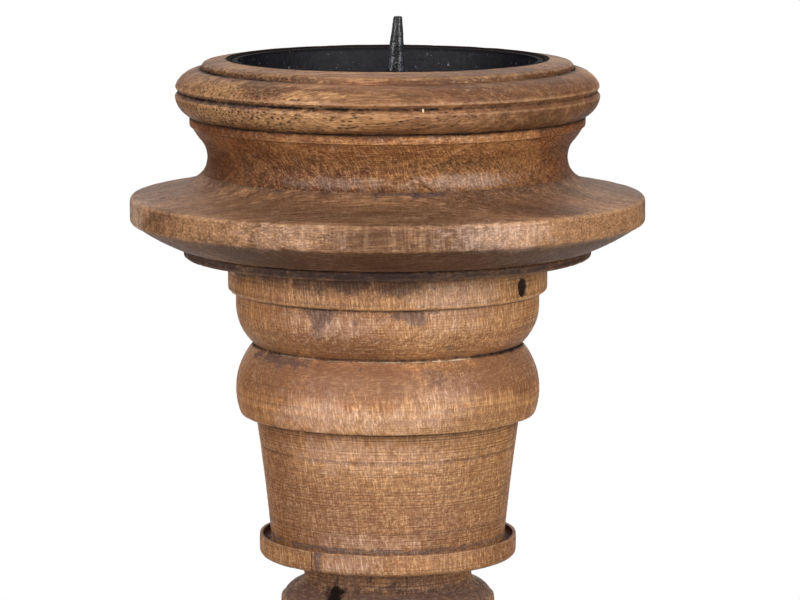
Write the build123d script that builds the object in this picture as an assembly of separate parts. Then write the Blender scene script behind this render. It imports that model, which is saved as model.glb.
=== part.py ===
"""Turned wooden pricket stand for a pillar candle.

Millimetres, +Z up. The origin is at the middle of the felt's underside, where the stand rests.
Every piece is turned about Z. Heights add up from the felt to the rim of the candle cup.
"""

import math
import os

from build123d import *

# Shared clearances and the overrun of every cut
slip_gap = 0.2
glue_gap = 0.15
cut_over = 1.0

# Felt under the foot
felt_thick = 2.0
felt_inset = 4.0

# Foot board, the lowest of the three base boards
foot_in = 4.0
foot_h = 14.0
foot_top_round = 3.0
foot_low_round = 1.0

# Base plate, a wider echo of the drip plate
base_edge_r = 80.0
base_cushion_in = 12.0
base_cushion_h = 4.0
base_bevel_in = 10.5
base_bevel_h = 7.0
base_edge_h = 8.0
base_edge_round = 1.4
base_slope_h = 4.5
base_fillet_in = 5.5
base_fillet_h = 4.0

# Base cap, the board that carries the column
cap_cove_h = 8.0
cap_step_in = 3.0
cap_ring_out = 5.6
cap_ring_h = 10.0
cap_ring_round = 1.2

# Greatest radius of both columns, which are turned from the same stock
column_r = 46.9

# Lower column: flange, cove, bead, vase, band and neck, from the bottom up
flange_h = 13.0
flange_foot_in = 2.4
flange_step_in = 1.6
low_cove_in = 20.2
low_cove_h = 18.0
low_bead_out = 5.0
low_bead_h = 9.0
low_quirk_in = 2.2
vase_low_h = 30.0
vase_out = 12.2
vase_top_h = 70.0
vase_neck_in = 13.8
band_step_h = 2.0
band_step_in = 3.0
band_out = 8.2
band_h = 6.4
band_round = 0.8
shoulder_in = 6.8
shoulder_h = 6.1
stem_neck_h = 5.8

# Upper column: collar, tapered shaft, torus, bowl and ring, from the bottom up
collar_h = 6.7
collar_round = 0.9
lip_w = 1.3
lip_gap = 2.2
lip_depth = 1.8
shaft_h = 35.3
shaft_flare = 4.2
shaft_cove_h = 2.2
shaft_cove_w = 1.2
torus_foot_in = 3.3
torus_foot_out = 4.9
torus_round = 0.6
torus_h = 21.0
crease_in = 4.2
bowl_round_h = 11.2
bowl_straight_h = 4.1
bowl_ring_h = 10.2
bowl_ring_out = 2.3
bowl_ring_round = 1.1

# Drip plate
plate_edge_r = 75.4
cushion_in = 15.6
cushion_h = 2.3
cushion_round = 0.8
quirk_h = 0.7
quirk_in = 0.8
bevel_in = 14.4
bevel_h = 6.9
edge_h = 8.1
edge_round = 1.3
slope_h = 3.0
fillet_in = 6.1
fillet_h = 3.6

# Neck of the candle cup
throat_h = 10.4
throat_out = 1.0
flare_out = 2.2
flare_h = 3.3
cup_band_out = 0.5
cup_band_h = 2.9
neck_bore_r = 14.0

# Rim of the candle cup
rim_bore_r = 45.5
rim_chamfer = 0.5
rim_w = 8.8
rim_fall = 0.9
rim_edge_round = 0.5
rim_wall_h = 2.3
bead_top_h = 5.4
bead_out = 7.9
rim_groove_w = 1.9
bead_low_h = 6.4
bead_foot_in = 4.3

# Iron dish in the cup
pan_thick = 1.5
pan_draft = 1.0
pan_corner_r = 4.0
pan_below_rim = 0.8

# Forged spike, which comes up through the dish, and the washer that its end is peened over
spike_offset = 2.75
spike_base_w = 6.3
spike_tip_w = 2.9
spike_h = 27.3
spike_chamfer_share = 0.16
spike_tip_h = 0.6
spike_tenon_r = 2.5
spike_peen_r = 4.0
spike_peen_h = 1.5
spike_washer_r = 7.0
spike_washer_h = 1.5

# Countersunk screws of the dish
pan_screw_count = 3
pan_screw_ring_r = 30.0
pan_screw_turn = 90.0
pan_screw_r = 1.75
pan_screw_head_r = 3.5
pan_screw_length = 15.0
pan_screw_point_h = 2.5
pan_screw_slot_w = 0.9
pan_screw_slot_depth = 0.9

# Lag screws with hexagon heads, and their washers
lag_r = 4.0
lag_head_across = 13.0
lag_head_h = 5.5
lag_head_chamfer = 0.8
lag_point_h = 7.0
lag_washer_r = 12.0
lag_washer_h = 2.0
cup_lag_length = 60.0
base_lag_length = 80.0
base_pocket_r = 16.0
base_pocket_into_plate = 6.0

# Joints between the wooden pieces
spigot_r = 15.0
spigot_h = 11.5
dowel_r = 10.0
dowel_half_length = 25.0
dowel_chamfer = 1.0

# How far each round stretch bows from its chord, as a share of the chord
quarter_share = 0.2071
base_fillet_share = -0.09
base_slope_share = -0.015
cap_cove_share = -0.16
flange_share = 0.15
low_cove_share = -0.2
low_bead_share = 0.42
stem_neck_share = -0.05
torus_share = 0.14
shaft_share = -0.006
shaft_cove_share = -0.2
bevel_share = 0.03
fillet_share = -0.075
slope_share = -0.012
throat_share = -0.19
bead_low_share = 0.141
bead_top_share = 0.172
groove_share = -0.5

# Levels of the glue lines, from the ground up
foot_level = felt_thick
base_level = foot_level + foot_h
cap_level = base_level + base_cushion_h + base_bevel_h + base_edge_h + base_slope_h + base_fillet_h
flange_level = cap_level + cap_cove_h + cap_ring_h
vase_low_level = flange_level + flange_h + low_cove_h + low_bead_h
vase_belly_level = vase_low_level + vase_low_h
vase_top_level = vase_belly_level + vase_top_h
band_level = vase_top_level + band_step_h
collar_level = band_level + band_h + shoulder_h + stem_neck_h
shaft_level = collar_level + collar_h
torus_level = shaft_level + shaft_h + shaft_cove_h - lip_depth
crease_level = torus_level + torus_h
bowl_ring_level = crease_level + bowl_round_h + bowl_straight_h
plate_level = bowl_ring_level + bowl_ring_h
neck_level = plate_level + cushion_h + quirk_h + bevel_h + edge_h + slope_h + fillet_h
seat_level = neck_level + throat_h + flare_h + cup_band_h
rim_level = seat_level + bead_low_h + rim_groove_w + bead_top_h + rim_wall_h + rim_fall

# Radii of the base, from the column's foot outwards
cap_ring_r = column_r + cap_ring_out
base_neck_r = cap_ring_r + cap_step_in
base_fillet_r = base_neck_r + base_fillet_in
foot_r = base_edge_r - foot_in

# Radii of the columns
vase_low_r = column_r - flange_step_in - low_cove_in
belly_r = vase_low_r + vase_out
vase_top_r = belly_r - vase_neck_in
band_r = vase_top_r + band_out
bowl_r = column_r - bowl_ring_out
torus_foot_r = column_r - torus_foot_in
crease_r = torus_foot_r - crease_in
shaft_top_r = torus_foot_r - torus_foot_out
shaft_low_r = shaft_top_r - shaft_flare
collar_r = shaft_low_r + lip_gap + lip_w

# Radii of the cup, from its bore outwards and down to the drip plate
rim_wall_r = rim_bore_r + rim_w
bead_r = rim_wall_r + bead_out
bead_foot_r = bead_r - bead_foot_in
cup_band_r = bead_foot_r
flare_r = cup_band_r - cup_band_out - flare_out
neck_foot_r = flare_r - throat_out
plate_fillet_r = neck_foot_r + fillet_in
pan_r = rim_bore_r - slip_gap
pan_floor_level = seat_level + pan_thick


def turned(outline):
    """Solid turned about Z from a closed outline of (radius, height) points.

    The outline runs anticlockwise. A third value makes the run to that point an arc, bowed away
    from the wood by that share of its chord, or into it where the share is negative.
    """
    runs = []
    for start, stop in zip(outline, outline[1:] + outline[:1]):
        share = stop[2] if len(stop) > 2 else 0
        chord = Vector(*stop[:2]) - Vector(*start[:2])
        if share:
            runs.append(SagittaArc(start[:2], stop[:2], -share * chord.length))
        else:
            runs.append(Line(start[:2], stop[:2]))
    return revolve(Plane.XZ * make_face(runs), Axis.Z)


def upright_share(reach, rise):
    """Bow share of an arc that covers this reach and rise and runs upright at its outer end."""
    return math.tan(math.atan2(reach, rise) / 2) / 2


def rod(radius, low, high):
    """Upright cylinder about Z between two levels."""
    return Pos(0, 0, low) * Cylinder(radius, high - low, align=(Align.CENTER, Align.CENTER, Align.MIN))


def upright_spot(angle, reach):
    """Place on a circle about Z."""
    return Rot(0, 0, angle) * Pos(reach, 0, 0)


def make_felt():
    return rod(foot_r - felt_inset, 0, felt_thick)


def make_foot():
    board = turned(
        [
            (0, foot_level),
            (foot_r - foot_low_round, foot_level),
            (foot_r, foot_level + foot_low_round, quarter_share),
            (foot_r, base_level - foot_top_round),
            (foot_r - foot_top_round, base_level, quarter_share),
            (0, base_level),
        ]
    )
    return board - rod(base_pocket_r, foot_level - cut_over, base_level + cut_over)


def make_base_plate():
    cushion_r = base_edge_r - base_cushion_in
    bevel_level = base_level + base_cushion_h
    edge_level = bevel_level + base_bevel_h
    slope_level = edge_level + base_edge_h
    fillet_level = slope_level + base_slope_h
    board = turned(
        [
            (0, base_level),
            (cushion_r - base_edge_round, base_level),
            (cushion_r, base_level + base_edge_round, quarter_share),
            (cushion_r, bevel_level),
            (base_edge_r - base_edge_round, edge_level),
            (base_edge_r, edge_level + base_edge_round, quarter_share),
            (base_edge_r, slope_level - base_edge_round),
            (base_edge_r - base_edge_round, slope_level, quarter_share),
            (base_fillet_r, fillet_level, base_slope_share),
            (base_neck_r, cap_level, base_fillet_share),
            (0, cap_level),
        ]
    )
    pocket_top = base_level + base_pocket_into_plate
    board -= rod(base_pocket_r, base_level - cut_over, pocket_top)
    return board - rod(lag_r + glue_gap, base_level, cap_level + cut_over)


def make_base_cap():
    step_level = cap_level + cap_cove_h
    board = turned(
        [
            (0, cap_level),
            (base_neck_r, cap_level),
            (cap_ring_r - cap_ring_round, step_level, cap_cove_share),
            (cap_ring_r, step_level + cap_ring_round, quarter_share),
            (cap_ring_r, flange_level - cap_ring_round),
            (cap_ring_r - cap_ring_round, flange_level, quarter_share),
            (0, flange_level),
        ]
    )
    board -= rod(spigot_r + glue_gap, flange_level - spigot_h - glue_gap, flange_level + cut_over)
    return board - rod(lag_r + glue_gap, cap_level - cut_over, flange_level + cut_over)


def lower_column_outline():
    flange_top = flange_level + flange_h
    cove_top = flange_top + low_cove_h
    bead_seat_r = vase_low_r + low_quirk_in
    band_top = band_level + band_h
    neck_low = band_top + shoulder_h
    shoulder_r = band_r - shoulder_in
    return [
        (0, flange_level - spigot_h),
        (spigot_r, flange_level - spigot_h),
        (spigot_r, flange_level),
        (column_r - flange_foot_in, flange_level),
        (column_r - flange_step_in, flange_top, flange_share),
        (vase_low_r, cove_top, low_cove_share),
        (bead_seat_r, cove_top),
        (bead_seat_r, vase_low_level, low_bead_share),
        (vase_low_r, vase_low_level),
        (belly_r, vase_belly_level, upright_share(vase_out, vase_low_h)),
        (vase_top_r, vase_top_level, upright_share(vase_neck_in, vase_top_h)),
        (band_r - band_step_in, vase_top_level),
        (band_r - band_step_in, band_level),
        (band_r - band_round, band_level),
        (band_r, band_level + band_round, quarter_share),
        (band_r, band_top - band_round),
        (band_r - band_round, band_top, quarter_share),
        (shoulder_r, neck_low),
        (shoulder_r, collar_level, stem_neck_share),
        (0, collar_level),
    ]


def make_lower_column():
    column = turned(lower_column_outline())
    lag_top = base_level + base_pocket_into_plate - lag_washer_h + base_lag_length
    column -= rod(lag_r + glue_gap, flange_level - spigot_h - cut_over, lag_top + glue_gap)
    dowel_low = collar_level - dowel_half_length - glue_gap
    return column - rod(dowel_r + glue_gap, dowel_low, collar_level + cut_over)


def upper_column_outline():
    lip_bottom = shaft_level - lip_depth
    cove_low = torus_level - shaft_cove_h
    return [
        (0, collar_level),
        (collar_r - collar_round, collar_level),
        (collar_r, collar_level + collar_round, quarter_share),
        (collar_r, shaft_level),
        (collar_r - lip_w, shaft_level),
        (collar_r - lip_w, lip_bottom),
        (shaft_low_r, lip_bottom),
        (shaft_top_r, cove_low, shaft_share),
        (shaft_top_r + shaft_cove_w, torus_level, shaft_cove_share),
        (torus_foot_r - torus_round, torus_level),
        (torus_foot_r, torus_level + torus_round, quarter_share),
        (crease_r, crease_level, torus_share),
        (bowl_r, crease_level + bowl_round_h, upright_share(bowl_r - crease_r, bowl_round_h)),
        (bowl_r, bowl_ring_level),
        (column_r - bowl_ring_round, bowl_ring_level),
        (column_r, bowl_ring_level + bowl_ring_round, quarter_share),
        (column_r, plate_level),
        (spigot_r, plate_level),
        (spigot_r, plate_level + spigot_h),
        (0, plate_level + spigot_h),
    ]


def make_upper_column():
    column = turned(upper_column_outline())
    lag_low = neck_level + lag_washer_h - cup_lag_length
    column -= rod(lag_r + glue_gap, lag_low - glue_gap, plate_level + spigot_h + cut_over)
    dowel_high = collar_level + dowel_half_length + glue_gap
    return column - rod(dowel_r + glue_gap, collar_level - cut_over, dowel_high)


def make_dowel():
    dowel = rod(dowel_r, collar_level - dowel_half_length, collar_level + dowel_half_length)
    return chamfer(dowel.edges().filter_by(GeomType.CIRCLE), dowel_chamfer)


def make_drip_plate():
    cushion_r = plate_edge_r - cushion_in
    quirk_level = plate_level + cushion_h
    bevel_level = quirk_level + quirk_h
    edge_level = bevel_level + bevel_h
    slope_level = edge_level + edge_h
    fillet_level = slope_level + slope_h
    board = turned(
        [
            (0, plate_level),
            (cushion_r - cushion_round, plate_level),
            (cushion_r, plate_level + cushion_round, quarter_share),
            (cushion_r, quirk_level),
            (cushion_r - quirk_in, bevel_level),
            (plate_edge_r - bevel_in, bevel_level),
            (plate_edge_r - edge_round, edge_level, bevel_share),
            (plate_edge_r, edge_level + edge_round, quarter_share),
            (plate_edge_r, slope_level - edge_round),
            (plate_edge_r - edge_round, slope_level, quarter_share),
            (plate_fillet_r, fillet_level, slope_share),
            (neck_foot_r, neck_level, fillet_share),
            (0, neck_level),
        ]
    )
    board -= rod(spigot_r + glue_gap, plate_level - cut_over, plate_level + spigot_h + glue_gap)
    return board - rod(lag_r + glue_gap, plate_level, neck_level + cut_over)


def pan_screw_spots():
    """The places of the dish's screws, evenly spaced about Z."""
    step = 360 / pan_screw_count
    return [upright_spot(pan_screw_turn + step * i, pan_screw_ring_r) for i in range(pan_screw_count)]


def pan_screw_body(grow):
    """Countersunk screw with its head flush with the dish's floor, larger all round by grow."""
    cone_h = pan_screw_head_r - pan_screw_r
    low = pan_floor_level - pan_screw_length
    return turned(
        [
            (0, low - grow),
            (pan_screw_r + grow, low + pan_screw_point_h),
            (pan_screw_r + grow, pan_floor_level - cone_h),
            (pan_screw_head_r + grow, pan_floor_level),
            (0, pan_floor_level),
        ]
    )


def make_cup_neck():
    flare_level = neck_level + throat_h
    band_low = flare_level + flare_h
    board = turned(
        [
            (0, neck_level),
            (neck_foot_r, neck_level),
            (flare_r, flare_level, throat_share),
            (flare_r + flare_out, band_low),
            (cup_band_r, band_low),
            (cup_band_r, seat_level),
            (0, seat_level),
        ]
    )
    board -= rod(neck_bore_r, neck_level - cut_over, seat_level + cut_over)
    for spot in pan_screw_spots():
        board -= spot * pan_screw_body(glue_gap)
    return board


def make_cup_rim():
    groove_low = seat_level + bead_low_h
    groove_top = groove_low + rim_groove_w
    wall_low = groove_top + bead_top_h
    wall_top = wall_low + rim_wall_h
    return turned(
        [
            (rim_bore_r, seat_level),
            (bead_foot_r, seat_level),
            (bead_r, groove_low, bead_low_share),
            (bead_r, groove_top, groove_share),
            (rim_wall_r, wall_low, bead_top_share),
            (rim_wall_r, wall_top - rim_edge_round),
            (rim_wall_r - rim_edge_round, wall_top, quarter_share),
            (rim_bore_r + rim_chamfer, rim_level),
            (rim_bore_r, rim_level - rim_chamfer),
        ]
    )


def make_pan():
    """Pressed iron dish, open at the top, with holes for the spike and the screws."""
    floor_r = pan_r - pan_draft
    lip_level = rim_level - pan_below_rim
    inner_corner_r = pan_corner_r - pan_thick
    dish = turned(
        [
            (0, seat_level),
            (floor_r - pan_corner_r, seat_level),
            (floor_r, seat_level + pan_corner_r, quarter_share),
            (pan_r, lip_level),
            (pan_r - pan_thick, lip_level),
            (floor_r - pan_thick, seat_level + pan_corner_r),
            (floor_r - pan_thick - inner_corner_r, pan_floor_level, -quarter_share),
            (0, pan_floor_level),
        ]
    )
    spike_hole = spike_block(spike_base_w + 2 * glue_gap, seat_level - cut_over, pan_floor_level + cut_over)
    dish -= Pos(spike_offset, 0, 0) * spike_hole
    for spot in pan_screw_spots():
        dish -= spot * pan_screw_body(glue_gap)
    return dish


def spike_section(width, level):
    """Square bar section with its corners hammered flat, at a level."""
    square = Rectangle(width, width)
    return Pos(0, 0, level) * chamfer(square.vertices(), width * spike_chamfer_share)


def spike_block(width, low, high):
    """Straight square bar with flattened corners between two levels."""
    return extrude(spike_section(width, low), high - low)


def make_spike():
    """Forged square spike. Its round tenon passes the washer under the dish and is peened over it."""
    tip_level = pan_floor_level + spike_h
    washer_low = seat_level - spike_washer_h
    narrow_share = spike_tip_h / spike_h
    neck_w = spike_tip_w + (spike_base_w - spike_tip_w) * narrow_share
    narrow = spike_section(neck_w, tip_level - spike_tip_h)
    bar = loft([spike_section(spike_base_w, pan_floor_level), narrow])
    tip = loft([narrow, spike_section(neck_w - spike_tip_h, tip_level)])
    root = spike_block(spike_base_w, seat_level, pan_floor_level)
    tenon = rod(spike_tenon_r, washer_low - spike_peen_h, seat_level)
    peen = turned(
        [
            (0, washer_low - spike_peen_h),
            (spike_tenon_r, washer_low - spike_peen_h),
            (spike_peen_r, washer_low, quarter_share),
            (0, washer_low),
        ]
    )
    return Pos(spike_offset, 0, 0) * (bar + tip + root + tenon + peen)


def make_spike_washer():
    ring = rod(spike_washer_r, seat_level - spike_washer_h, seat_level)
    ring -= rod(spike_tenon_r + glue_gap, seat_level - spike_washer_h - cut_over, seat_level + cut_over)
    return Pos(spike_offset, 0, 0) * ring


def make_pan_screws():
    """The screws of the dish, each with a cross slot."""
    slot_length = 2 * pan_screw_r
    slot = Box(slot_length, pan_screw_slot_w, 2 * pan_screw_slot_depth)
    cross = Pos(0, 0, pan_floor_level) * (slot + Rot(0, 0, 90) * slot)
    screw = pan_screw_body(0) - cross
    return Compound(children=[spot * screw for spot in pan_screw_spots()])


def make_lag(seat, length, way):
    """Lag screw whose head bears on a seat level, with its point up or down (way 1 or -1)."""
    point = turned(
        [
            (0, length - lag_point_h),
            (lag_r, length - lag_point_h),
            (0, length),
        ]
    )
    shank = rod(lag_r, -lag_head_h / 2, length - lag_point_h)
    head = extrude(RegularPolygon(lag_head_across / 2, 6, major_radius=False), -lag_head_h)
    head = chamfer(head.edges().group_by(Axis.Z)[0], lag_head_chamfer)
    screw = shank + head + point
    if way < 0:
        screw = Rot(180, 0, 0) * screw
    return Pos(0, 0, seat) * screw


def make_lag_washer(low):
    high = low + lag_washer_h
    return rod(lag_washer_r, low, high) - rod(lag_r + glue_gap, low - cut_over, high + cut_over)


base_washer_level = base_level + base_pocket_into_plate - lag_washer_h

pieces = {
    "felt_disc": make_felt(),
    "foot_board": make_foot(),
    "base_plate": make_base_plate(),
    "base_cap": make_base_cap(),
    "base_lag_screw": make_lag(base_washer_level, base_lag_length, 1),
    "base_lag_washer": make_lag_washer(base_washer_level),
    "lower_column": make_lower_column(),
    "column_dowel": make_dowel(),
    "upper_column": make_upper_column(),
    "drip_plate": make_drip_plate(),
    "cup_lag_screw": make_lag(neck_level + lag_washer_h, cup_lag_length, -1),
    "cup_lag_washer": make_lag_washer(neck_level),
    "cup_neck": make_cup_neck(),
    "cup_rim": make_cup_rim(),
    "candle_pan": make_pan(),
    "pan_screws": make_pan_screws(),
    "pricket_spike": make_spike(),
    "spike_washer": make_spike_washer(),
}

os.makedirs("parts", exist_ok=True)
for name, piece in pieces.items():
    export_step(piece, f"parts/{name}.step")

print("rim level", round(rim_level, 2), "spike tip", round(pan_floor_level + spike_h, 2))
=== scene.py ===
"""Looks of a turned wooden pricket stand: waxed mango-wood boards and columns, a black iron dish and its spike.

Lengths are in millimetres until a mesh is made, which is in metres. The whole wooden stand is one outline of
(radius, height), worn, cut up into its pieces and carried round Z, with the marks that use has left on it and with
painted light and shade: shade in its creases, recesses and undersides and sheen highlights on its lit faces.
"""

import math

import bpy
import numpy as np
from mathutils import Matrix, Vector


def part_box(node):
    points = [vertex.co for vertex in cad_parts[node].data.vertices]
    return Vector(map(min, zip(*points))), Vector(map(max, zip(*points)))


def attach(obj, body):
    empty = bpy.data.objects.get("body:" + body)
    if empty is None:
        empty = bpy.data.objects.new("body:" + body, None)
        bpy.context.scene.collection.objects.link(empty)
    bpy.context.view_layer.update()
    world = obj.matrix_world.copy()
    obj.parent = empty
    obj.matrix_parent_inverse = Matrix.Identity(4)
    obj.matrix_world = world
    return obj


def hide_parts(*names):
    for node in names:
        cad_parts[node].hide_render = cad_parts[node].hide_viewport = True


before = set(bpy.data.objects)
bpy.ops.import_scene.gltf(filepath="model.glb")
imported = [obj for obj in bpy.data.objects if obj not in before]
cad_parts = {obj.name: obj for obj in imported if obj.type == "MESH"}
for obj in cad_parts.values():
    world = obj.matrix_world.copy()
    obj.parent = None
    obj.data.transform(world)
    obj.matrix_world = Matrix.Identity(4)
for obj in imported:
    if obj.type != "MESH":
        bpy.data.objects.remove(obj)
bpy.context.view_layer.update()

MM = 0.001
TENTH = 0.1
sharp_turn = math.radians(50)  # faces that turn by more meet in a sharp edge
full_circle = 2 * math.pi
dish_thick = 1.5


def levels(node):
    """Lowest and highest level of a CAD node in millimetres."""
    low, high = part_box(node)
    return low.z / MM, high.z / MM


# Levels of the glue lines, from the felt up
foot_level, base_level, cap_level, flange_level, collar_level, seat_level, rim_level, dish_lip_level = (
    levels(node)[1]
    for node in (
        "felt_disc", "foot_board", "base_plate", "base_cap", "lower_column", "cup_neck", "cup_rim", "candle_pan",
    )
)
plate_level, neck_level = levels("drip_plate")
peen_level, spike_tip_level = levels("pricket_spike")
dish_floor_level = seat_level + dish_thick

# Round stretches of the outline: how far each bows from its chord, as a share of it. This one is a quarter circle.
quarter = 0.2071


def upright(reach, rise):
    """Bow share of an arc that covers this reach and rise and ends upright."""
    return math.tan(math.atan2(reach, rise) / 2) / 2


# The wood that shows, piece by piece from the foot to the candle cup. Each list goes on from the last point of
# the piece below it, and a third value bows that run outwards by that share of its chord, or inwards if negative.
stand_start = (60, foot_level)
stand_outline = {
    "foot_board": [
        (75, foot_level), (76, foot_level + 1, quarter), (76, base_level - 3),
        (73, base_level, quarter), (66.6, base_level),
    ],
    "base_plate": [
        (68, 17.4, quarter), (68, 20), (78.6, 27), (80, 28.4, quarter), (80, 33.6),
        (78.6, 35, quarter), (61, 39.5, -0.015), (55.5, cap_level, -0.09),
    ],
    "base_cap": [
        (51.3, 51.5, -0.16), (52.5, 52.7, quarter), (52.5, 60.3), (51.3, flange_level, quarter),
        (44.5, flange_level),
    ],
    "lower_column": [
        (45.3, 74.5, 0.15), (25.1, 92.5, -0.2), (27.3, 92.5), (27.3, 101.5, 0.42), (25.1, 101.5),
        (37.3, 131.5, upright(12.2, 30)), (23.5, 201.5, upright(13.8, 70)), (28.7, 201.5),
        (28.7, 203.5), (30.9, 203.5), (31.7, 204.3, quarter), (31.7, 209.1), (30.9, 209.9, quarter),
        (28.45, 212.7, 0.08), (25.6, 214.3, -0.04), (24.9, 215.6, -0.12), (24.9, collar_level),
    ],
    "upper_column": [
        (36.3, collar_level), (38, 223.5, quarter), (38, 228.5), (36.7, 228.5), (36.7, 226.7),
        (34.5, 226.7), (38.7, 262, -0.006), (39.9, 264.2, -0.2), (43, 264.2), (43.6, 264.8, quarter),
        (39.4, 285.2, 0.14), (44.6, 296.4, upright(5.2, 11.2)), (44.6, 300.5), (45.8, 300.5),
        (46.9, 301.6, quarter), (46.9, plate_level),
    ],
    "drip_plate": [
        (59, plate_level), (59.8, 311.5, quarter), (59.8, 313), (59, 313.7), (61, 313.7),
        (74.1, 320.6, 0.03), (75.4, 321.9, quarter), (75.4, 327.4), (74.1, 328.7, quarter),
        (60.3, 331.7, -0.012), (54.2, neck_level, -0.075),
    ],
    "cup_neck": [(55.2, 345.7, -0.19), (57.4, 349), (57.9, 349), (57.9, seat_level)],
    "cup_rim": [
        (62.2, 358.3, 0.141), (62.2, 360.2, -0.5), (54.3, 365.6, 0.172), (54.3, 366.4),
        (53.1, 367.7, quarter), (46, rim_level), (45.5, rim_level - 0.5), (45.5, 362),
    ],
}

# Radii that only hidden faces have: the lag screws' bores and pocket, the spigots and their holes, and two more bores
lag_bore, lag_pocket, spigot, spigot_hole, dowel_bore, cup_bore = 4.15, 16, 15, 15.15, 10.15, 14

# Hidden corners of each piece, before and after its stretch of the outline: glue faces, bores and mortises
hidden_corners = {
    "foot_board": ([(lag_pocket, base_level), (lag_pocket, foot_level)], []),
    "base_plate": ([(lag_pocket, base_level)], [(lag_bore, cap_level), (lag_bore, 22), (lag_pocket, 22)]),
    "base_cap": ([(lag_bore, cap_level)], [(spigot_hole, flange_level), (spigot_hole, 49.85), (lag_bore, 49.85)]),
    "lower_column": (
        [(0, 100.15), (lag_bore, 100.15), (lag_bore, 50), (spigot, 50), (spigot, flange_level)],
        [(dowel_bore, collar_level), (dowel_bore, 196.65), (0, 196.65)],
    ),
    "upper_column": (
        [(0, 246.95), (dowel_bore, 246.95), (dowel_bore, collar_level)],
        [(spigot, plate_level), (spigot, 322.2), (lag_bore, 322.2), (lag_bore, 277.15), (0, 277.15)],
    ),
    "drip_plate": ([(spigot_hole, plate_level)], [(lag_bore, neck_level), (lag_bore, 322.35), (spigot_hole, 322.35)]),
    "cup_neck": ([(cup_bore, neck_level)], [(cup_bore, seat_level)]),
    "cup_rim": ([(45.5, seat_level)], []),
}

# How many points each piece's stretch keeps, and how many go round
rows_of = dict(zip(stand_outline, (90, 150, 90, 300, 290, 180, 90, 150)))
columns_round = 330


def trace(start, outline):
    """Points a tenth of a millimetre apart along the outline, and the place in them of each of its corners.

    A bowed run stands off its chord by a circle's height. With u running from minus to plus half the chord and
    R the circle's radius, that height is the root of R squared less u squared, less R, plus the whole bow.
    """
    points, corners = [], [0]
    head = np.array(start, float)
    for stop in outline:
        tail = np.array(stop[:2], float)
        chord = np.linalg.norm(tail - head)
        count = max(int(chord / TENTH), 2)
        t = np.arange(count)[:, None] / count
        run = head + (tail - head) * t
        if len(stop) > 2:
            bow = abs(stop[2]) * chord
            radius = (chord**2 / 4 + bow**2) / (2 * bow)
            height = np.sqrt(radius**2 - ((t - 0.5) * chord) ** 2) - radius + bow
            outwards = np.array([tail[1] - head[1], head[0] - tail[0]]) / chord
            run = run + height * outwards * math.copysign(1, stop[2])
        points.append(run)
        corners.append(corners[-1] + count)
        head = tail
    points.append(head[None, :])
    return np.vstack(points), corners


def blur(points, reach):
    """Mean of each point's neighbours along the outline, under a bell curve of this reach in millimetres."""
    far = int(3 * reach / TENTH)
    bell = np.exp(-0.5 * (np.arange(-far, far + 1) * TENTH / reach) ** 2)
    bell /= bell.sum()
    ends = 2 * points[0] - points[far:0:-1], 2 * points[-1] - points[-2 : -far - 2 : -1]
    padded = np.vstack([ends[0], points, ends[1]])
    return np.stack([np.convolve(padded[:, k], bell, "valid") for k in range(2)], axis=1)


def outward(points):
    """Unit normals of an outline: its direction turned a quarter turn clockwise, away from the wood."""
    way = np.gradient(points, axis=0)
    way /= np.maximum(np.linalg.norm(way, axis=1), 1e-9)[:, None]
    return np.stack([way[:, 1], -way[:, 0]], axis=1)


def thinned(points, count):
    """Places of the points to keep: evenly spaced on straight runs and closer together where the outline turns.
    A radian of turning is worth as much as 2.2 mm of run, up to 0.4 of a radian at a point."""
    way = np.diff(points, axis=0)
    length = np.linalg.norm(way, axis=1)
    turn = np.abs(np.gradient(np.unwrap(np.arctan2(way[:, 1], way[:, 0]))))
    worth = np.concatenate([[0], np.cumsum(length + 2.2 * np.minimum(turn, 0.4))])
    return np.interp(np.linspace(0, worth[-1], count), worth, np.arange(len(points)))


def wander(points, wave, seed, parts=24):
    """Smooth random height of about unit size: the sum of cosines of about this wavelength, each along its own
    seeded direction and with its own seeded start."""
    draw = np.random.default_rng(seed)
    heading = draw.normal(size=(parts, points.shape[-1]))
    heading /= np.linalg.norm(heading, axis=1)[:, None]
    pace = full_circle / wave * draw.uniform(0.6, 1.5, parts)
    starts = draw.uniform(0, full_circle, parts)
    total = np.zeros(points.shape[:-1])
    for way, rate, start in zip(heading, pace, starts):
        total += np.cos(points @ way * rate + start)
    return total * math.sqrt(2 / parts)


def ease(value, low, high):
    """Smooth step from 0 at low to 1 at high, or the other way round where high is the lesser."""
    t = np.clip((value - low) / (high - low), 0, 1)
    return t * t * (3 - 2 * t)


def build(name, points, faces, coats):
    """Mesh object in metres, smooth but for turns of over 50 degrees, with a vertex attribute for each coat."""
    mesh = bpy.data.meshes.new(name)
    mesh.from_pydata((points * MM).tolist(), [], faces)
    for coat, values in coats.items():
        mesh.attributes.new(coat, "FLOAT", "POINT").data.foreach_set("value", values.astype(np.float32).ravel())
    mesh.polygons.foreach_set("use_smooth", np.ones(len(mesh.polygons), bool))
    mesh.set_sharp_from_angle(angle=sharp_turn)
    mesh.update()
    piece = bpy.data.objects.new(name, mesh)
    bpy.context.collection.objects.link(piece)
    return piece


def skin(rows, columns, looped):
    """Faces of a grid that closes round its columns. A looped grid closes over its rows too, and another has a
    fan at each end, round two points that come after the grid's own."""
    row = np.arange(rows if looped else rows - 1)[:, None] * columns
    column = np.arange(columns)[None, :]
    following = (column + 1) % columns
    above = (row + columns) % (rows * columns)
    corners = [row + column, row + following, above + following, above + column]
    faces = np.stack(corners, axis=-1).reshape(-1, 4).tolist()
    if not looped:
        ring, after, top = column[0], following[0], (rows - 1) * columns
        first, last = np.full(columns, rows * columns), np.full(columns, rows * columns + 1)
        faces += np.stack([first, after, ring], axis=1).tolist()
        faces += np.stack([last, top + ring, top + after], axis=1).tolist()
    return faces
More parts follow.
